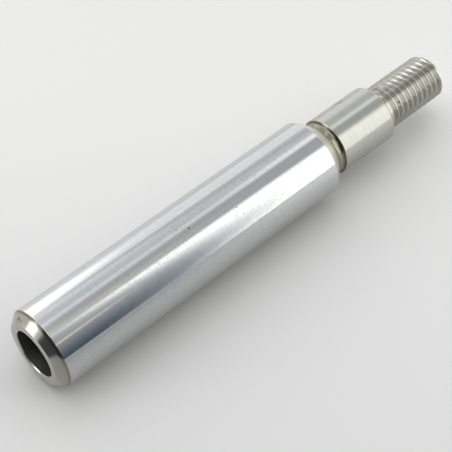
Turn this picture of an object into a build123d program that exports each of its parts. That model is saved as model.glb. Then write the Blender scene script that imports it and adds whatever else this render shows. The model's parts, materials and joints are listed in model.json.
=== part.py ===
from build123d import *
from math import atan, cos, degrees, isclose, radians, tan
import os

# Turned steel shaft: one piece, bored at one end and threaded at the other. It stands on its
# bored end. Z runs up its axis from the flat end face, through the hard-chromed body, the
# grooved shoulder and the ground journal, to the tip of the threaded stud.
# All sizes are millimetres and all angles are degrees.

# Diameters along the shaft
body_diameter = 20.0  # hard-chromed bar
journal_diameter = 15.0  # ground seat
stud_diameter = 11.83  # over the crests of the M12 thread
groove_diameter = 13.6  # grinding relief below the journal
end_face_diameter = 16.1  # flat ring around the mouth of the bore
lead_in_diameter = 19.3  # where the lead-in cone meets the narrow cone at the chrome's edge

# Heights up the axis, from the bored end
lead_in_height = 1.75
chrome_start_height = 2.3
shoulder_height = 84.0
journal_height = 89.5
journal_length = 17.0
stud_length = 20.0

# Edges, corners and the relief groove
shoulder_angle = 49.5  # slope of the cone above the chrome, from square to the axis
groove_corner_radius = 0.5
journal_start_chamfer = 0.15
journal_end_chamfer = 0.6
stud_chamfer = 1.0

# Right-hand M12 x 1.75 thread
thread_pitch = 1.75
thread_depth = 0.99
thread_root_width = 0.29
thread_flank_angle = 30.0  # lean of each flank from square to the axis
run_out_height = 107.2  # where the threading tool has drawn clear of the stud
run_out_clearance = 0.05  # how far outside the crests the tool is there

# Blind bore, drilled and then bored to size
bore_diameter = 12.0
bore_depth = 30.0
bore_lip_chamfer = 0.25
drill_point_angle = 118.0

body_radius = body_diameter / 2
journal_radius = journal_diameter / 2
stud_radius = stud_diameter / 2
groove_radius = groove_diameter / 2
bore_radius = bore_diameter / 2
thread_root_radius = stud_radius - thread_depth
journal_end_height = journal_height + journal_length
overall_length = journal_end_height + stud_length
blank_length = overall_length + 2 * thread_pitch  # the tip is faced off after the thread is cut
groove_start_height = shoulder_height + (body_radius - groove_radius) * tan(radians(shoulder_angle))
drill_point_height = bore_radius / tan(radians(drill_point_angle / 2))

# The thread's groove is cut a little past the crests, along a cone and then along a cylinder
tool_depth = thread_depth + 2 * run_out_clearance
tool_root = thread_root_width / 2
tool_mouth = tool_root + tool_depth * tan(radians(thread_flank_angle))
run_out_radius = stud_radius + run_out_clearance
run_out_angle = degrees(atan((run_out_radius - thread_root_radius) / thread_pitch))
full_thread_height = run_out_height + thread_pitch
full_thread_length = overall_length + thread_pitch - full_thread_height


def rims(part, radius):
    """The circular edges of a part that have the given radius, from the lowest up."""
    circles = part.edges().filter_by(GeomType.CIRCLE)
    return circles.filter_by(lambda edge: isclose(edge.radius, radius, abs_tol=1e-6)).sort_by(Axis.Z)


with BuildPart() as turned_shaft:
    # One side of the blank's lengthwise section, turned about the axis
    with BuildSketch(Plane.XZ) as half_section:
        with BuildLine():
            Polyline(
                (0, 0),
                (end_face_diameter / 2, 0),
                (lead_in_diameter / 2, lead_in_height),
                (body_radius, chrome_start_height),
                (body_radius, shoulder_height),
                (groove_radius, groove_start_height),
                (groove_radius, journal_height),
                (journal_radius, journal_height),
                (journal_radius, journal_end_height),
                (stud_radius, journal_end_height),
                (stud_radius, blank_length),
                (0, blank_length),
                close=True,
            )
        make_face()
    revolve(axis=Axis.Z)

    # The grooving tool leaves its nose radius in both corners of the relief groove
    fillet(rims(turned_shaft, groove_radius), groove_corner_radius)

    # Journal: a broken edge above the groove and a lead-in chamfer towards the stud
    chamfer(rims(turned_shaft, journal_radius)[0], journal_start_chamfer)
    chamfer(rims(turned_shaft, journal_radius)[-1], journal_end_chamfer)

    # The thread: over its first turn the tool sinks along a cone to full depth, and from there it
    # follows a cylinder past the tip
    tool_paths = (
        (run_out_height, run_out_radius, thread_pitch, -run_out_angle),
        (full_thread_height, thread_root_radius, full_thread_length, 0),
    )
    for start_height, start_radius, path_height, cone_angle in tool_paths:
        with BuildLine() as tool_path:
            Helix(
                thread_pitch / cos(radians(cone_angle)),
                path_height,
                start_radius,
                center=(0, 0, start_height),
                cone_angle=cone_angle,
            )
        with BuildSketch(Plane(tool_path.line @ 0, x_dir=(1, 0, 0), z_dir=tool_path.line % 0)):
            with BuildLine():
                Polyline(
                    (0, -tool_root),
                    (tool_depth, -tool_mouth),
                    (tool_depth, tool_mouth),
                    (0, tool_root),
                    close=True,
                )
            make_face()
        sweep(is_frenet=True, mode=Mode.SUBTRACT)

    # The tip is faced to length and pointed down to the root of the thread
    with BuildSketch(Plane.XZ) as tip_section:
        with BuildLine():
            Polyline(
                (0, 0),
                (body_diameter, 0),
                (body_diameter, overall_length - body_diameter + stud_radius - stud_chamfer),
                (stud_radius - stud_chamfer, overall_length),
                (0, overall_length),
                close=True,
            )
        make_face()
    revolve(axis=Axis.Z, mode=Mode.INTERSECT)

    # Blind bore with the cone of the drill at its floor and a broken edge at its mouth
    with BuildSketch(Plane.XZ) as bore_section:
        with BuildLine():
            Polyline(
                (0, 0),
                (bore_radius + bore_lip_chamfer, 0),
                (bore_radius, bore_lip_chamfer),
                (bore_radius, bore_depth),
                (0, bore_depth + drill_point_height),
                close=True,
            )
        make_face()
    revolve(axis=Axis.Z, mode=Mode.SUBTRACT)

os.makedirs("parts", exist_ok=True)
turned_shaft.part.label = "turned_shaft"
export_step(turned_shaft.part, "parts/turned_shaft.step")
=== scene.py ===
import json
from math import atan2, cos, hypot, pi, radians, sin, sqrt, tan

import bpy
from mathutils import Matrix, Vector


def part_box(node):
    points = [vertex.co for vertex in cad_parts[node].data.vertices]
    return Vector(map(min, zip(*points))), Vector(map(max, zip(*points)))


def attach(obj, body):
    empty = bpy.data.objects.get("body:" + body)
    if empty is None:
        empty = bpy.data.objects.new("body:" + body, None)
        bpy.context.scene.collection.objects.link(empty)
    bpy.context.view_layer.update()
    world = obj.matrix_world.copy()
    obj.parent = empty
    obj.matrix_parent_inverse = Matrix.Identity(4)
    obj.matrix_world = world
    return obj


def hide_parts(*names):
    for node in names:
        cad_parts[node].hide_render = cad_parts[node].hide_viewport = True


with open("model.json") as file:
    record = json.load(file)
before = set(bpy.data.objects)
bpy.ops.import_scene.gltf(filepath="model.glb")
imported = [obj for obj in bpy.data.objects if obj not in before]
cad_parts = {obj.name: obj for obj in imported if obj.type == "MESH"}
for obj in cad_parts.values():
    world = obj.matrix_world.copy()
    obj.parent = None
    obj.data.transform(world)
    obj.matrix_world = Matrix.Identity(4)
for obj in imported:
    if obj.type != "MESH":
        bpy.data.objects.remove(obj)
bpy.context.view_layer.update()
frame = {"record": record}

MM = 0.001

# ---------------------------------------------------------------- sizes, from the frame
mounts = {mount["name"]: mount for mount in frame["record"]["mounts"]}
bottom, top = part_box("turned_shaft")
OVERALL_LENGTH = top.z - bottom.z
BODY_RADIUS = mounts["chromed_body"]["dims"]["r_mm"] * MM
JOURNAL_RADIUS = mounts["journal"]["dims"]["r_mm"] * MM
STUD_RADIUS = mounts["stud_thread"]["dims"]["r_mm"] * MM
STUD_LENGTH = mounts["stud_thread"]["dims"]["length_mm"] * MM
BORE_RADIUS = mounts["end_bore"]["dims"]["r_mm"] * MM

# Turned forms between those, as the part is drawn
END_FACE_RADIUS = 8.05 * MM
LEAD_IN_RADIUS = 9.65 * MM
LEAD_IN_HEIGHT = 1.75 * MM
CHROME_START = 2.3 * MM
SHOULDER_HEIGHT = 84.0 * MM
SHOULDER_SLOPE = radians(49.5)
GROOVE_RADIUS = 6.8 * MM
JOURNAL_START = 89.5 * MM
JOURNAL_END = OVERALL_LENGTH - STUD_LENGTH
JOURNAL_START_CHAMFER = 0.15 * MM
JOURNAL_END_CHAMFER = 0.6 * MM
STUD_CHAMFER = 1.0 * MM
BORE_DEPTH = 30.0 * MM
BORE_LIP = 0.25 * MM
DRILL_POINT = BORE_RADIUS / tan(radians(59.0))
GROOVE_START = SHOULDER_HEIGHT + (BODY_RADIUS - GROOVE_RADIUS) * tan(SHOULDER_SLOPE)

# M12 x 1.75 right-hand thread
PITCH = 1.75 * MM
THREAD_DEPTH = 0.99 * MM
THREAD_ROOT = 0.20 * MM  # half the flat at the root
THREAD_FLANK = tan(radians(28.5))  # as cut: a little steeper than the nominal 30 degrees
THREAD_START = 107.2 * MM  # where the groove's line crosses the X axis, before it has any depth

# Rounding that a turning tool and a polish leave on the rims
END_FACE_ROUNDING = 0.14 * MM
LEAD_IN_ROUNDING = 0.25 * MM
CHROME_ROUNDING = 0.05 * MM
SHOULDER_ROUNDING = 0.12 * MM
GROOVE_ROUNDING = 0.35 * MM
JOURNAL_END_ROUNDING = 0.08 * MM

SEGMENTS = 256  # around the shaft
SMOOTH_BELOW = radians(14)  # faces that meet at a smaller angle than this shade as one surface


# ---------------------------------------------------------------- node helpers
# Sockets of a Mix node that mixes colours: the two colours, and the mixture
COLOUR_A, COLOUR_B, MIXED = 6, 7, 2


def hex_to_linear(code, strength=1.0):
    """An sRGB hex colour as linear red, green, blue and alpha."""
    channels = [int(code[place:place + 2], 16) / 255 for place in (1, 3, 5)]
    linear = [c / 12.92 if c <= 0.04045 else ((c + 0.055) / 1.055) ** 2.4 for c in channels]
    return (*[c * strength for c in linear], 1.0)


def add_node(tree, kind, inputs=None, **settings):
    """Adds a node. Inputs are values for its sockets, or the sockets that link to them."""
    node = tree.nodes.new(kind)
    for name, value in settings.items():
        setattr(node, name, value)
    for socket, value in (inputs or {}).items():
        if isinstance(value, bpy.types.NodeSocket):
            tree.links.new(value, node.inputs[socket])
        else:
            node.inputs[socket].default_value = value
    return node


def new_material(name):
    """An empty material with its output and one Principled BSDF."""
    material = bpy.data.materials.new(name)
    material.use_nodes = True
    tree = material.node_tree
    tree.nodes.clear()
    shader = add_node(tree, "ShaderNodeBsdfPrincipled")
    add_node(tree, "ShaderNodeOutputMaterial", {"Surface": shader.outputs["BSDF"]})
    return material, tree, shader


# ---------------------------------------------------------------- modelling helpers
def draw_section(name, points):
    """A line drawn point by point in the XZ plane, as (distance from the axis, height)."""
    bpy.ops.object.select_all(action="DESELECT")
    bpy.ops.mesh.primitive_plane_add(size=MM, location=(0, 0, 0))
    section = bpy.context.object
    section.name = section.data.name = name
    bpy.ops.object.mode_set(mode="EDIT")
    bpy.ops.mesh.merge(type="CENTER")
    here = Vector((points[0][0], 0, points[0][1]))
    bpy.ops.transform.translate(value=here)
    for radius, height in points[1:]:
        there = Vector((radius, 0, height))
        bpy.ops.mesh.extrude_vertices_move(TRANSFORM_OT_translate={"value": there - here})
        here = there
    return section


def select_rim(shaft, radius, height):
    """Selects the ring of edges at a radius and a height, in edit mode."""
    bpy.ops.mesh.select_all(action="DESELECT")
    bpy.ops.object.mode_set(mode="OBJECT")
    near = 0.002 * MM
    for vertex in shaft.data.vertices:
        ring = hypot(vertex.co.x, vertex.co.y)
        vertex.select = abs(ring - radius) < near and abs(vertex.co.z - height) < near
    for edge in shaft.data.edges:
        edge.select = all(shaft.data.vertices[end].select for end in edge.vertices)
    bpy.ops.object.mode_set(mode="EDIT")


# ---------------------------------------------------------------- the shaft
def turned_blank():
    """The whole shaft before its thread: half of its lengthwise section, spun about the axis."""
    support = 0.25 * MM  # rings beside the rims, so that the long walls shade as true cylinders
    rim = 0.04 * MM  # and rings just clear of the rounded rims, for the cones and the end face
    lead_in_slope = atan2(LEAD_IN_HEIGHT, LEAD_IN_RADIUS - END_FACE_RADIUS)

    def along(radius, height, angle, distance):
        """The point a distance from another one, at an angle from straight out."""
        return radius + distance * cos(angle), height + distance * sin(angle)

    tip_radius = STUD_RADIUS - STUD_CHAMFER
    # The grooving tool's corner radius, which ends square against the journal
    corner_rise = JOURNAL_RADIUS - JOURNAL_START_CHAMFER - GROOVE_RADIUS
    corner_reach = 0.8 * MM
    corner_steps = 8
    groove_corner = [
        (GROOVE_RADIUS + corner_rise * (1 - cos(pi / 2 * step / corner_steps)),
         JOURNAL_START - corner_reach * (1 - sin(pi / 2 * step / corner_steps)))
        for step in range(corner_steps + 1)
    ]
    points = [
        (0, BORE_DEPTH + DRILL_POINT),
        (BORE_RADIUS, BORE_DEPTH),
        (BORE_RADIUS, BORE_LIP),
        (BORE_RADIUS + BORE_LIP, 0),
        (END_FACE_RADIUS - END_FACE_ROUNDING - rim, 0),
        (END_FACE_RADIUS, 0),
        along(END_FACE_RADIUS, 0, lead_in_slope, END_FACE_ROUNDING + rim),
        along(LEAD_IN_RADIUS, LEAD_IN_HEIGHT, lead_in_slope, -LEAD_IN_ROUNDING - rim),
        (LEAD_IN_RADIUS, LEAD_IN_HEIGHT),
        (BODY_RADIUS, CHROME_START),
        (BODY_RADIUS, CHROME_START + support),
        (BODY_RADIUS, SHOULDER_HEIGHT - support),
        (BODY_RADIUS, SHOULDER_HEIGHT),
        along(BODY_RADIUS, SHOULDER_HEIGHT, pi - SHOULDER_SLOPE, SHOULDER_ROUNDING + rim),
        along(GROOVE_RADIUS, GROOVE_START, pi - SHOULDER_SLOPE, -GROOVE_ROUNDING - rim),
        (GROOVE_RADIUS, GROOVE_START),
        (GROOVE_RADIUS, GROOVE_START + GROOVE_ROUNDING + rim),
        *groove_corner,
        (JOURNAL_RADIUS, JOURNAL_START + JOURNAL_START_CHAMFER),
        (JOURNAL_RADIUS, JOURNAL_START + JOURNAL_START_CHAMFER + support),
        (JOURNAL_RADIUS, JOURNAL_END - JOURNAL_END_CHAMFER - support),
        (JOURNAL_RADIUS, JOURNAL_END - JOURNAL_END_CHAMFER),
        (JOURNAL_RADIUS - JOURNAL_END_CHAMFER, JOURNAL_END),
        (STUD_RADIUS, JOURNAL_END),
        (STUD_RADIUS, OVERALL_LENGTH - STUD_CHAMFER),
        (tip_radius, OVERALL_LENGTH),
        (0, OVERALL_LENGTH),
    ]
    shaft = draw_section("turned_shaft_finish", points)
    bpy.ops.mesh.select_all(action="SELECT")
    bpy.ops.mesh.spin(steps=SEGMENTS, angle=2 * pi, center=(0, 0, 0), axis=(0, 0, 1))
    bpy.ops.mesh.select_all(action="SELECT")
    bpy.ops.mesh.remove_doubles(threshold=0.001 * MM)
    bpy.ops.mesh.normals_make_consistent(inside=False)
    # Rims that a turning tool and a polish leave slightly round, and the groove's tool radius
    rims = (
        (GROOVE_RADIUS, GROOVE_START, GROOVE_ROUNDING, 4),
        (END_FACE_RADIUS, 0, END_FACE_ROUNDING, 4),
        (LEAD_IN_RADIUS, LEAD_IN_HEIGHT, LEAD_IN_ROUNDING, 4),
        (BODY_RADIUS, CHROME_START, CHROME_ROUNDING, 4),
        (BODY_RADIUS, SHOULDER_HEIGHT, SHOULDER_ROUNDING, 4),
        (JOURNAL_RADIUS, JOURNAL_END - JOURNAL_END_CHAMFER, JOURNAL_END_ROUNDING, 4),
    )
    for radius, height, width, steps in rims:
        select_rim(shaft, radius, height)
        bpy.ops.mesh.bevel(offset=width, segments=steps, affect="EDGES", clamp_overlap=False)
    bpy.ops.object.mode_set(mode="OBJECT")
    return shaft


def thread_cutter():
    """The solid that the threading tool sweeps: a V-shaped groove wound round the stud."""
    mouth = THREAD_ROOT + THREAD_DEPTH * THREAD_FLANK
    root = STUD_RADIUS - THREAD_DEPTH
    # The mouth flares out past the stud's surface, which takes the corners off the crests
    edge = 0.04 * MM
    flare = 0.6 * edge
    half = [
        (root, THREAD_ROOT),
        (STUD_RADIUS - edge, mouth - edge * THREAD_FLANK),
        (STUD_RADIUS, mouth + flare),
        (STUD_RADIUS + flare, mouth + 2 * edge),
    ]
    section = half + [(radius, -height) for radius, height in reversed(half)]
    start_turn = 0.1  # the tool comes in a tenth of a turn after the groove's line crosses X
    turns = (OVERALL_LENGTH + PITCH - THREAD_START) / PITCH - start_turn
    cutter = draw_section("thread_cutter", section)
    bpy.ops.mesh.select_all(action="SELECT")
    bpy.ops.mesh.edge_face_add()
    bpy.ops.transform.translate(value=(0, 0, THREAD_START + start_turn * PITCH))
    bpy.ops.object.mode_set(mode="OBJECT")
    # The section stands at X, half a facet off the shaft's own facets once it is turned
    start_angle = start_turn * 2 * pi + pi / SEGMENTS
    cutter.rotation_euler.z = start_angle
    bpy.ops.object.transform_apply(location=False, rotation=True, scale=False)
    screw = cutter.modifiers.new("thread", "SCREW")
    screw.axis = "Z"
    screw.angle = 2 * pi * turns
    screw.screw_offset = PITCH * turns
    screw.steps = screw.render_steps = round(SEGMENTS * turns)
    screw.use_merge_vertices = False
    bpy.ops.object.modifier_apply(modifier=screw.name)
    # Run-out: the tool sinks from clear of the stud to full depth
    sinking = 0.5  # of a turn
    clear = THREAD_DEPTH + 0.02 * MM
    for vertex in cutter.data.vertices:
        x, y, z = vertex.co
        angle = atan2(y, x) % (2 * pi)
        turn = angle / (2 * pi)
        turn += round((z - THREAD_START) / PITCH - turn)
        lift = clear * max(0.0, 1.0 - (turn - start_turn) / sinking)
        reach = hypot(x, y)
        vertex.co.x = x * (reach + lift) / reach
        vertex.co.y = y * (reach + lift) / reach
    bpy.ops.object.mode_set(mode="EDIT")
    bpy.ops.mesh.select_all(action="SELECT")
    bpy.ops.mesh.fill_holes(sides=len(section))
    bpy.ops.mesh.select_all(action="SELECT")
    bpy.ops.mesh.normals_make_consistent(inside=False)
    bpy.ops.object.mode_set(mode="OBJECT")
    return cutter


def cut_thread(shaft):
    """Takes the thread's groove out of the stud."""
    cutter = thread_cutter()
    bpy.ops.object.select_all(action="DESELECT")
    bpy.context.view_layer.objects.active = shaft
    shaft.select_set(True)
    boolean = shaft.modifiers.new("thread", "BOOLEAN")
    boolean.operation = "DIFFERENCE"
    boolean.solver = "EXACT"
    boolean.object = cutter
    bpy.ops.object.modifier_apply(modifier=boolean.name)
    bpy.data.objects.remove(cutter)
    bpy.ops.object.mode_set(mode="EDIT")
    bpy.ops.mesh.select_all(action="SELECT")
    bpy.ops.mesh.remove_doubles(threshold=0.0005 * MM)
    bpy.ops.mesh.normals_make_consistent(inside=False)
    bpy.ops.object.mode_set(mode="OBJECT")


def on_shaft(angle, radius, height):
    """The point at an angle in degrees from +X, a distance from the axis and a height."""
    turn = radians(angle)
    return Vector((radius * cos(turn), radius * sin(turn), height))


def marks_left(tree, places):
    """A mask of small round marks, each a centre and a radius. It is 1 in a mark, 0 elsewhere."""
    here = add_node(tree, "ShaderNodeTexCoord").outputs["Object"]
    ragged = add_node(
        tree, "ShaderNodeTexNoise", {"Vector": here, "Scale": 1 / (0.35 * MM), "Detail": 3.0})
    mask = None
    for centre, radius in places:
        away = add_node(tree, "ShaderNodeVectorMath", {0: here, 1: centre}, operation="DISTANCE")
        raggedness = 0.9 * radius
        outside = 1.6 * radius
        rough_edge = add_node(
            tree, "ShaderNodeMath",
            {0: ragged.outputs["Fac"], 1: raggedness, 2: away.outputs["Value"]},
            operation="MULTIPLY_ADD")
        mark = add_node(
            tree, "ShaderNodeMapRange",
            {"Value": rough_edge.outputs[0], "From Min": raggedness, "From Max": outside,
             "To Min": 1.0, "To Max": 0.0},
            interpolation_type="SMOOTHSTEP").outputs["Result"]
        if mask is None:
            mask = mark
        else:
            mask = add_node(
                tree, "ShaderNodeMath", {0: mask, 1: mark}, operation="MAXIMUM").outputs[0]
    return mask


def reach_from_axis(tree, here):
    """How far a point is from the shaft's axis."""
    flat = add_node(
        tree, "ShaderNodeVectorMath", {0: here, 1: (1.0, 1.0, 0.0)}, operation="MULTIPLY")
    return add_node(
        tree, "ShaderNodeVectorMath", {0: flat.outputs["Vector"]},
        operation="LENGTH").outputs["Value"]


def turning_marks(tree, spacing):
    """Height of the fine rings that a tool leaves, from 0 to 1: a spacing apart, uneven, and
    fading in and out on their way round the shaft."""
    stretch = 20.0  # how much longer the pattern is round the shaft than across the rings
    here = add_node(tree, "ShaderNodeTexCoord").outputs["Object"]
    place = add_node(tree, "ShaderNodeSeparateXYZ", {0: here})
    feed = add_node(
        tree, "ShaderNodeMath", {0: reach_from_axis(tree, here), 1: place.outputs["Z"]},
        operation="SUBTRACT")
    across = add_node(
        tree, "ShaderNodeMath", {0: feed.outputs[0], 1: stretch}, operation="MULTIPLY")
    wound = add_node(
        tree, "ShaderNodeCombineXYZ",
        {"X": place.outputs["X"], "Y": place.outputs["Y"], "Z": across.outputs[0]})
    rings = add_node(
        tree, "ShaderNodeTexNoise",
        {"Vector": wound.outputs["Vector"], "Scale": 1 / (stretch * spacing), "Detail": 2.0})
    # Noise keeps near its middle, so it is spread over the whole range
    return add_node(
        tree, "ShaderNodeMapRange",
        {"Value": rings.outputs["Fac"], "From Min": 0.3, "From Max": 0.7}).outputs["Result"]


def grain_round_the_shaft(tree, shader, roughness, strength):
    """A surface worked round and round: its reflections blur along the shaft, not across it."""
    around = add_node(tree, "ShaderNodeTangent", direction_type="RADIAL", axis="Z")
    tree.links.new(around.outputs["Tangent"], shader.inputs["Tangent"])
    shader.inputs["Metallic"].default_value = 1.0
    shader.inputs["Roughness"].default_value = roughness
    shader.inputs["Anisotropic"].default_value = strength
    shader.inputs["Anisotropic Rotation"].default_value = 0.25  # a quarter turn: across the tangent


def hard_chrome():
    """Hard chrome on ground bar, polished: a cool, near-mirror grey. Its faint waves along the bar
    break the edges of what it mirrors, and a few pits stand dark in it."""
    material, tree, shader = new_material("hard_chrome_polished")
    here = add_node(tree, "ShaderNodeTexCoord").outputs["Object"]
    # Waves 2 mm long and 0.7 mm wide, left under the chrome by the grinding
    waves_place = add_node(tree, "ShaderNodeMapping", {"Vector": here, "Scale": (1.0, 1.0, 0.35)})
    waves = add_node(
        tree, "ShaderNodeTexNoise",
        {"Vector": waves_place.outputs["Vector"], "Scale": 1 / (0.7 * MM), "Detail": 3.0})
    # Faint mottling from handling, about 0.6 mm across, duller than the rest
    smears = add_node(
        tree, "ShaderNodeTexNoise", {"Vector": here, "Scale": 1 / (0.6 * MM), "Detail": 4.0})
    smeared = add_node(
        tree, "ShaderNodeMapRange",
        {"Value": smears.outputs["Fac"], "From Min": 0.48, "From Max": 0.78})
    # Polishing lines that climb round the bar, drawn 0.5 mm apart where real ones are finer
    lines_place = add_node(
        tree, "ShaderNodeMapping",
        {"Vector": here, "Rotation": (radians(38), radians(24), 0.0), "Scale": (0.12, 0.12, 1.0)})
    lines = add_node(
        tree, "ShaderNodeTexNoise",
        {"Vector": lines_place.outputs["Vector"], "Scale": 1 / (0.5 * MM), "Detail": 3.0})
    pits = marks_left(tree, (
        (on_shaft(-76, BODY_RADIUS, 43.1 * MM), 0.26 * MM),
        (on_shaft(-62, BODY_RADIUS, 55.6 * MM), 0.20 * MM),
        (on_shaft(-84, BODY_RADIUS, 40.5 * MM), 0.19 * MM),
        (on_shaft(-90, BODY_RADIUS, 40.4 * MM), 0.15 * MM),
    ))
    tone = add_node(
        tree, "ShaderNodeMix",
        {"Factor": lines.outputs["Fac"], COLOUR_A: hex_to_linear("#BABBBC"),
         COLOUR_B: hex_to_linear("#C5C5C6")},
        data_type="RGBA")
    soiled = add_node(
        tree, "ShaderNodeMix",
        {"Factor": smeared.outputs["Result"], COLOUR_A: tone.outputs[MIXED],
         COLOUR_B: hex_to_linear("#B4B5B6")},
        data_type="RGBA")
    pitted = add_node(
        tree, "ShaderNodeMix",
        {"Factor": pits, COLOUR_A: soiled.outputs[MIXED], COLOUR_B: hex_to_linear("#5A5B58")},
        data_type="RGBA")
    # A near-mirror where it is clean, and a little blurred where it is mottled
    haze = add_node(
        tree, "ShaderNodeMapRange",
        {"Value": smeared.outputs["Result"], "To Min": 0.06, "To Max": 0.18})
    waviness = add_node(
        tree, "ShaderNodeBump",
        {"Height": waves.outputs["Fac"], "Strength": 1.0, "Distance": 0.004 * MM})
    tree.links.new(pitted.outputs[MIXED], shader.inputs["Base Color"])
    tree.links.new(haze.outputs["Result"], shader.inputs["Roughness"])
    tree.links.new(waviness.outputs["Normal"], shader.inputs["Normal"])
    shader.inputs["Metallic"].default_value = 1.0
    return material


def turned_steel():
    """Bare steel off the lathe, handled: warm grey with an olive cast, fine rings and scuffs, and
    painted shade on the lead-in's +X side.
    """
    material, tree, shader = new_material("turned_steel")
    rings = turning_marks(tree, 0.30 * MM)
    here = add_node(tree, "ShaderNodeTexCoord").outputs["Object"]
    stain = add_node(
        tree, "ShaderNodeTexNoise", {"Vector": here, "Scale": 1 / (2.5 * MM), "Detail": 4.0})
    stained = add_node(
        tree, "ShaderNodeMix",
        {"Factor": stain.outputs["Fac"], COLOUR_A: hex_to_linear("#9E9C91"),
         COLOUR_B: hex_to_linear("#B4B3AC")},
        data_type="RGBA")
    tone = add_node(
        tree, "ShaderNodeMix",
        {"Factor": rings, COLOUR_A: stained.outputs[MIXED], COLOUR_B: hex_to_linear("#C4C3BE")},
        data_type="RGBA")
    scuffs = marks_left(tree, (
        (on_shaft(-126, 8.9 * MM, 0.9 * MM), 0.50 * MM),
        (on_shaft(-122, 8.8 * MM, 0.8 * MM), 0.35 * MM),
        (on_shaft(-117, 8.6 * MM, 0.7 * MM), 0.30 * MM),
        (on_shaft(-88, 8.8 * MM, 0.9 * MM), 0.24 * MM),
        (on_shaft(-84, 8.4 * MM, 0.4 * MM), 0.16 * MM),
        (on_shaft(-138, 7.0 * MM, 0.0), 0.45 * MM),
        (on_shaft(-130, 6.6 * MM, 0.0), 0.35 * MM),
    ))
    # Painted shade: the lead-in is drawn darker on its +X side, where it mirrors a darker floor.
    place = add_node(tree, "ShaderNodeSeparateXYZ", {0: here})
    plus_x_shade = add_node(
        tree, "ShaderNodeMapRange",
        {"Value": place.outputs["X"], "From Min": 6.4 * MM, "From Max": 8.6 * MM})
    shaded_plus_x = add_node(
        tree, "ShaderNodeMix",
        {"Factor": plus_x_shade.outputs["Result"], COLOUR_A: tone.outputs[MIXED],
         COLOUR_B: hex_to_linear("#A09D97")},
        data_type="RGBA")
    # The narrow chamfer under the chrome is drawn a darker olive.
    chamfer = add_node(
        tree, "ShaderNodeMapRange",
        {"Value": place.outputs["Z"], "From Min": LEAD_IN_HEIGHT - 0.1 * MM,
         "From Max": LEAD_IN_HEIGHT + 0.15 * MM})
    darkened = add_node(
        tree, "ShaderNodeMix",
        {"Factor": chamfer.outputs["Result"], COLOUR_A: shaded_plus_x.outputs[MIXED],
         COLOUR_B: hex_to_linear("#8A8778")},
        data_type="RGBA")
    scuffed = add_node(
        tree, "ShaderNodeMix",
        {"Factor": scuffs, COLOUR_A: darkened.outputs[MIXED], COLOUR_B: hex_to_linear("#807E72")},
        data_type="RGBA")
    relief = add_node(
        tree, "ShaderNodeBump", {"Height": rings, "Strength": 1.0, "Distance": 0.005 * MM})
    tree.links.new(scuffed.outputs[MIXED], shader.inputs["Base Color"])
    tree.links.new(relief.outputs["Normal"], shader.inputs["Normal"])
    grain_round_the_shaft(tree, shader, roughness=0.15, strength=0.7)
    return material


def grooved_steel():
    """Bare steel cut across with a form tool: its coarser rings spread each reflection along it."""
    material, tree, shader = new_material("groove_turned_steel")
    rings = turning_marks(tree, 0.20 * MM)
    # Lighter towards the chrome, and a darker olive towards the bottom of the groove
    here = add_node(tree, "ShaderNodeTexCoord").outputs["Object"]
    towards_chrome = add_node(
        tree, "ShaderNodeMapRange",
        {"Value": reach_from_axis(tree, here), "From Min": 7.4 * MM, "From Max": 9.4 * MM})
    darkened = add_node(
        tree, "ShaderNodeMix",
        {"Factor": towards_chrome.outputs["Result"], COLOUR_A: hex_to_linear("#CAC7B0"),
         COLOUR_B: hex_to_linear("#DADAD8")},
        data_type="RGBA")
    ring_tone = add_node(
        tree, "ShaderNodeMix",
        {"Factor": rings, COLOUR_A: hex_to_linear("#E0E0E0"), COLOUR_B: hex_to_linear("#FFFFFF")},
        data_type="RGBA")
    tone = add_node(
        tree, "ShaderNodeMix",
        {"Factor": 1.0, COLOUR_A: darkened.outputs[MIXED], COLOUR_B: ring_tone.outputs[MIXED]},
        data_type="RGBA", blend_type="MULTIPLY")
    relief = add_node(
        tree, "ShaderNodeBump", {"Height": rings, "Strength": 1.0, "Distance": 0.005 * MM})
    tree.links.new(tone.outputs[MIXED], shader.inputs["Base Color"])
    tree.links.new(relief.outputs["Normal"], shader.inputs["Normal"])
    grain_round_the_shaft(tree, shader, roughness=0.38, strength=0.85)
    return material


def recess_steel():
    """Steel at the bottom of the groove: a form tool left it smooth. It is drawn a darker olive
    grey, and painted darker still in the corner under the journal, as shade."""
    material, tree, shader = new_material("groove_bottom_steel")
    rings = turning_marks(tree, 0.16 * MM)
    tone = add_node(
        tree, "ShaderNodeMix",
        {"Factor": rings, COLOUR_A: hex_to_linear("#858370"), COLOUR_B: hex_to_linear("#9F9D8F")},
        data_type="RGBA")
    # Painted shade: darker still in the corner under the journal
    place = add_node(
        tree, "ShaderNodeSeparateXYZ", {0: add_node(tree, "ShaderNodeTexCoord").outputs["Object"]})
    corner_shade = add_node(
        tree, "ShaderNodeMapRange",
        {"Value": place.outputs["Z"], "From Min": JOURNAL_START - 0.9 * MM,
         "From Max": JOURNAL_START - 0.1 * MM})
    shaded_corner = add_node(
        tree, "ShaderNodeMix",
        {"Factor": corner_shade.outputs["Result"], COLOUR_A: tone.outputs[MIXED],
         COLOUR_B: hex_to_linear("#6B695A")},
        data_type="RGBA")
    relief = add_node(
        tree, "ShaderNodeBump", {"Height": rings, "Strength": 1.0, "Distance": 0.003 * MM})
    tree.links.new(shaded_corner.outputs[MIXED], shader.inputs["Base Color"])
    tree.links.new(relief.outputs["Normal"], shader.inputs["Normal"])
    grain_round_the_shaft(tree, shader, roughness=0.17, strength=0.7)
    return material


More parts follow.
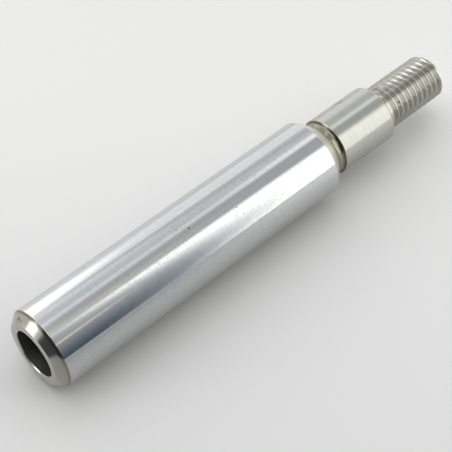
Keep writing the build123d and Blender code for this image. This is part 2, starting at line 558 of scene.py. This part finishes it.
def ground_steel():
    """Bare steel ground round and round: a satin grey whose reflections stay sharp only along it.
    A smudge of oil dulls it on one side."""
    material, tree, shader = new_material("ground_steel")
    # Grinding marks, drawn 0.15 mm apart where real ones are finer
    scratches = turning_marks(tree, 0.15 * MM)
    tone = add_node(
        tree, "ShaderNodeMix",
        {"Factor": scratches, COLOUR_A: hex_to_linear("#ACACA6"),
         COLOUR_B: hex_to_linear("#B5B5B0")},
        data_type="RGBA")
    smudge = marks_left(tree, (
        (on_shaft(-142, JOURNAL_RADIUS, 97.6 * MM), 1.5 * MM),
        (on_shaft(-128, JOURNAL_RADIUS, 98.4 * MM), 1.1 * MM),
    ))
    smudged = add_node(
        tree, "ShaderNodeMix",
        {"Factor": smudge, COLOUR_A: tone.outputs[MIXED], COLOUR_B: hex_to_linear("#95958E")},
        data_type="RGBA")
    relief = add_node(
        tree, "ShaderNodeBump", {"Height": scratches, "Strength": 1.0, "Distance": 0.002 * MM})
    tree.links.new(smudged.outputs[MIXED], shader.inputs["Base Color"])
    tree.links.new(relief.outputs["Normal"], shader.inputs["Normal"])
    grain_round_the_shaft(tree, shader, roughness=0.22, strength=0.5)
    return material


def cut_thread_steel():
    """Steel of the thread, cut with a single point: bright flanks. The crests are what is left of
    the turned bar, and are duller and olive from handling."""
    material, tree, shader = new_material("cut_thread_steel")
    here = add_node(tree, "ShaderNodeTexCoord").outputs["Object"]
    stain = add_node(
        tree, "ShaderNodeTexNoise", {"Vector": here, "Scale": 1 / (1.6 * MM), "Detail": 3.0})
    flank = add_node(
        tree, "ShaderNodeMix",
        {"Factor": stain.outputs["Fac"], COLOUR_A: hex_to_linear("#B3B3AC"),
         COLOUR_B: hex_to_linear("#C7C6C0")},
        data_type="RGBA")
    crest = add_node(
        tree, "ShaderNodeMapRange",
        {"Value": reach_from_axis(tree, here), "From Min": STUD_RADIUS - 0.12 * MM,
         "From Max": STUD_RADIUS - 0.05 * MM})
    worn = add_node(
        tree, "ShaderNodeMix",
        {"Factor": crest.outputs["Result"], COLOUR_A: flank.outputs[MIXED],
         COLOUR_B: hex_to_linear("#A9A8A1")},
        data_type="RGBA")
    pit = marks_left(tree, ((on_shaft(-44, STUD_RADIUS - 0.3 * MM, 110.9 * MM), 0.36 * MM),))
    pitted = add_node(
        tree, "ShaderNodeMix",
        {"Factor": pit, COLOUR_A: worn.outputs[MIXED], COLOUR_B: hex_to_linear("#3B3A33")},
        data_type="RGBA")
    tree.links.new(pitted.outputs[MIXED], shader.inputs["Base Color"])
    grain_round_the_shaft(tree, shader, roughness=0.15, strength=0.7)
    return material


def bored_steel():
    """Steel wall of the bore, with the drill's rings. Its colour is painted dark as shade, because
    light hardly gets out of it.
    """
    material, tree, shader = new_material("bored_steel")
    here = add_node(tree, "ShaderNodeTexCoord").outputs["Object"]
    ring_spacing = 0.7 * MM  # the drill's feed for a turn
    rings_at_scale_1 = 20 / (2 * pi)  # that a wave texture draws to a metre
    rings = add_node(
        tree, "ShaderNodeTexWave",
        {"Vector": here, "Scale": 1 / (rings_at_scale_1 * ring_spacing), "Distortion": 1.2,
         "Detail": 2.0, "Detail Scale": 1.0},
        wave_type="BANDS", bands_direction="Z", wave_profile="SIN")
    # Painted shade: the wall is drawn much darker than the other steels
    tone = add_node(
        tree, "ShaderNodeMix",
        {"Factor": rings.outputs["Fac"], COLOUR_A: hex_to_linear("#64635C"),
         COLOUR_B: hex_to_linear("#898880")},
        data_type="RGBA")
    relief = add_node(
        tree, "ShaderNodeBump",
        {"Height": rings.outputs["Fac"], "Strength": 1.0, "Distance": 0.009 * MM})
    tree.links.new(tone.outputs[MIXED], shader.inputs["Base Color"])
    tree.links.new(relief.outputs["Normal"], shader.inputs["Normal"])
    shader.inputs["Metallic"].default_value = 0.85
    shader.inputs["Roughness"].default_value = 0.40
    return material


# Going up the outside of the shaft: each finish, and the height where it ends
FINISH_ENDS = (
    ("turned", CHROME_START + 0.06 * MM),  # just past the rounding of the chrome's first rim
    ("chrome", SHOULDER_HEIGHT + 0.1 * MM),  # the chrome turns over the shoulder's rounded rim
    ("grooved", GROOVE_START - 0.2 * MM),
    ("recess", JOURNAL_START + 0.5 * JOURNAL_START_CHAMFER),
    ("ground", JOURNAL_END - 0.9 * JOURNAL_END_CHAMFER),
    ("grooved", JOURNAL_END + 0.01 * MM),  # the journal's end chamfer and the flat inside it
)


def finish_of(centre):
    """Which finish a face has, by where its centre is."""
    reach = hypot(centre.x, centre.y)
    if reach < BORE_RADIUS + 0.25 * BORE_LIP and centre.z < BORE_DEPTH + DRILL_POINT:
        return "bored"
    if reach < BORE_RADIUS + BORE_LIP and centre.z < BORE_LIP:
        return "ground"  # the broken lip, rubbed bright
    for finish, end in FINISH_ENDS:
        if centre.z < end:
            return finish
    return "thread"


def build_shaft():
    """The finished shaft, which stands for its CAD node."""
    shaft = turned_blank()
    cut_thread(shaft)
    finishes = {
        "chrome": hard_chrome(),
        "turned": turned_steel(),
        "grooved": grooved_steel(),
        "recess": recess_steel(),
        "ground": ground_steel(),
        "thread": cut_thread_steel(),
        "bored": bored_steel(),
    }
    places = {name: place for place, name in enumerate(finishes)}
    for material in finishes.values():
        shaft.data.materials.append(material)
    for face in shaft.data.polygons:
        face.material_index = places[finish_of(face.center)]
    bpy.ops.object.shade_smooth_by_angle(angle=SMOOTH_BELOW)
    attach(shaft, "root")
    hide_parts("turned_shaft")


# ---------------------------------------------------------------- floor
def build_floor():
    """A matt pale board that the shaft lies on. It is see-through from below."""
    bpy.ops.object.select_all(action="DESELECT")
    bpy.ops.mesh.primitive_plane_add(
        size=6.0, rotation=(pi / 2, 0, 0), location=(0, BODY_RADIUS, 0))
    floor = bpy.context.object
    floor.name = floor.data.name = "floor"
    bpy.ops.object.transform_apply(location=True, rotation=True, scale=True)
    material, tree, shader = new_material("matt_pale_board")
    shader.inputs["Roughness"].default_value = 0.32
    # Painted shade: the board is drawn a little darker towards the near right, where less light
    # falls
    here = add_node(tree, "ShaderNodeTexCoord").outputs["Object"]
    across = add_node(
        tree, "ShaderNodeVectorMath", {0: here, 1: (-1.0, 0.0, 1.0)}, operation="DOT_PRODUCT")
    shade = add_node(
        tree, "ShaderNodeMapRange",
        {"Value": across.outputs["Value"], "From Min": -90 * MM, "From Max": 140 * MM},
        interpolation_type="SMOOTHSTEP")
    tone = add_node(
        tree, "ShaderNodeMix",
        {"Factor": shade.outputs["Result"], COLOUR_A: hex_to_linear("#D2D2D2"),
         COLOUR_B: hex_to_linear("#E3E3E2")},
        data_type="RGBA")
    tree.links.new(tone.outputs[MIXED], shader.inputs["Base Color"])
    side = add_node(tree, "ShaderNodeNewGeometry")
    clear = add_node(tree, "ShaderNodeBsdfTransparent")
    board = add_node(
        tree, "ShaderNodeMixShader",
        {0: side.outputs["Backfacing"], 1: shader.outputs["BSDF"], 2: clear.outputs["BSDF"]})
    output = tree.nodes["Material Output"]
    tree.links.new(board.outputs["Shader"], output.inputs["Surface"])
    floor.data.materials.append(material)


# ---------------------------------------------------------------- light
def direction(place):
    """A direction from the shaft, from a pair: the degrees from straight up round the shaft,
    positive to the right, and how far it leans along the shaft, as the sine of that angle."""
    around, along = place
    level = sqrt(1 - along ** 2)
    return Vector((sin(radians(around)) * level, -cos(radians(around)) * level, along))


def lengthwise(around):
    """Two directions that a panel's edge along the shaft passes through."""
    return (around, -0.5), (around, 0.5)


# The studio: a grey room with pale walls and two windows. Each panel has a colour, a strength, a
# direction inside it, and straight edges. An edge passes through two directions and is as soft, to
# each side, as its degrees. A later panel stands in front of an earlier one.
PANELS = (
    ("left wall", "#FEFFFF", 1.29, (-70, 0.3), (
        (*lengthwise(-53), 4),)),
    ("left ceiling", "#F8FCFF", 0.96, (-35, 0.3), (
        (*lengthwise(-53), 4), (*lengthwise(-21), 2.5))),
    ("near beam", "#FBFDFF", 1.21, (-42, 0.2), (
        (*lengthwise(-48), 3), (*lengthwise(-35), 4), ((-60, 0.36), (-30, 0.36), 5))),
    ("ceiling gap", "#F4FAFF", 0.78, (-46, 0.40), (
        ((-54, 0.30), (-46, 0.48), 4), ((-48, 0.30), (-38, 0.48), 4),
        ((-60, 0.36), (-30, 0.36), 5))),
    ("ceiling strip", "#F8FCFF", 1.18, (-16, 0.3), (
        (*lengthwise(-20), 2.5), (*lengthwise(-8.5), 5))),
    ("far ceiling strip", "#FFFFFF", 1.68, (-16, 0.6), (
        (*lengthwise(-22), 4), (*lengthwise(-9), 4), ((-40, 0.44), (10, 0.44), 5))),
    ("warm wall", "#FFFFF0", 0.85, (12, 0.2), (
        (*lengthwise(7), 4), (*lengthwise(17), 3), ((-20, 0.36), (40, 0.36), 5))),
    ("dark right side", "#B8DEFF", 0.17, (85, 0.2), (
        (*lengthwise(56), 34),)),
    ("door edge", "#FFF0D4", 1.15, (44, 0.2), (
        (*lengthwise(41.5), 1.5), (*lengthwise(46.5), 2), ((20, 0.312), (70, 0.312), 1.5))),
    ("right window's frame", "#EEF8FF", 0.73, (40, 0.6), (
        ((17, 0.28), (23, 0.48), 3), ((80, 0.37), (25, 0.27), 4))),
    ("right window", "#FFFFFB", 2.17, (40, 0.6), (
        ((18, 0.28), (25, 0.48), 4.5), ((80, 0.435), (25, 0.327), 3.4))),
    ("left window", "#FFFFFF", 2.17, (-76, 0.2), (
        ((-91, 0.28), (-80, 0.337), 3.0), ((-68, 0.341), (-55, 0.29), 3.0),
        (*lengthwise(-35), 8), ((-95, 0.08), (-40, 0.08), 6))),
    ("near left wall", "#FFFFFA", 0.85, (-80, -0.5), (
        (*lengthwise(-19), 7), ((-95, 0.0), (-30, 0.0), 6))),
    ("near left window", "#FFFFFF", 3.50, (-70, -0.85), (
        ((-38, -0.64), (-43, -0.87), 6), ((-36, -0.87), (-58, -0.94), 4),
        ((-48, -0.62), (-76, -0.70), 6), ((-77, -0.72), (-81, -0.84), 5))),
    ("far right window", "#FFFEF4", 1.97, (50, 0.9), (
        (*lengthwise(10), 6), ((-10, 0.64), (90, 0.64), 5))),
    ("photographer", "#F8F8FF", 0.075, (60, -0.8), (
        (*lengthwise(-17), 5), ((-40, -0.15), (80, -0.15), 10))),
    ("overhead softbox", "#FFFFFF", 1.80, (-10, -0.1), (
        (*lengthwise(-45), 8), (*lengthwise(20), 8), ((-50, 0.14), (50, 0.14), 6),
        ((-50, -0.33), (50, -0.33), 6))),
    ("far edge of the floor", "#FFFFFF", 0.70, (89.5, 0.3), (
        (*lengthwise(88), 2), ((60, -0.35), (89.5, -0.35), 6))),
)
ROOM = ("#FAFDFF", 0.67)
BACKDROP = "#E2E2E2"  # what the camera sees past the board's edge


def build_world():
    """The studio as the shaft sees it. The camera sees a plain pale backdrop instead."""
    world = bpy.data.worlds.new("studio")
    bpy.context.scene.world = world
    world.use_nodes = True
    tree = world.node_tree
    tree.nodes.clear()
    towards = add_node(tree, "ShaderNodeTexCoord").outputs["Generated"]
    light = hex_to_linear(*ROOM)
    for name, colour, strength, inside, edges in PANELS:
        mask = None
        for start, end, softness in edges:
            normal = direction(start).cross(direction(end)).normalized()
            if normal.dot(direction(inside)) < 0:
                normal.negate()
            across = add_node(
                tree, "ShaderNodeVectorMath", {0: towards, 1: normal}, operation="DOT_PRODUCT")
            width = sin(radians(softness))
            step = add_node(
                tree, "ShaderNodeMapRange",
                {"Value": across.outputs["Value"], "From Min": -width, "From Max": width},
                interpolation_type="SMOOTHSTEP").outputs["Result"]
            if mask is None:
                mask = step
            else:
                mask = add_node(
                    tree, "ShaderNodeMath", {0: mask, 1: step}, operation="MULTIPLY").outputs[0]
        light = add_node(
            tree, "ShaderNodeMix",
            {"Factor": mask, COLOUR_A: light, COLOUR_B: hex_to_linear(colour, strength)},
            data_type="RGBA", label=name).outputs[MIXED]
    seen = add_node(tree, "ShaderNodeLightPath").outputs["Is Camera Ray"]
    shown = add_node(
        tree, "ShaderNodeMix",
        {"Factor": seen, COLOUR_A: light, COLOUR_B: hex_to_linear(BACKDROP)},
        data_type="RGBA").outputs[MIXED]
    studio = add_node(tree, "ShaderNodeBackground", {"Color": shown})
    add_node(tree, "ShaderNodeOutputWorld", {"Surface": studio.outputs["Background"]})


# ---------------------------------------------------------------- camera
CAMERA_PLACE = Vector((148.5, -246.8, -79.6)) * MM
CAMERA_FORWARD = Vector((-0.4626, 0.7784, 0.4243)).normalized()
STRAIGHT_UP = Vector((0, -1, 0))  # from the floor


def build_camera():
    """Looks down on the lying shaft from beyond its bored end."""
    right = CAMERA_FORWARD.cross(STRAIGHT_UP).normalized()
    upward = right.cross(CAMERA_FORWARD)
    facing = Matrix((right, upward, -CAMERA_FORWARD)).transposed().to_4x4()
    camera = bpy.data.objects.new("camera", bpy.data.cameras.new("camera"))
    bpy.context.scene.collection.objects.link(camera)
    camera.data.sensor_width = 36.0
    camera.data.lens = 108.28
    camera.matrix_world = Matrix.Translation(CAMERA_PLACE) @ facing
    bpy.context.scene.camera = camera


build_camera()
build_world()
build_floor()
build_shaft()

bpy.context.scene.view_settings.view_transform = "Standard"
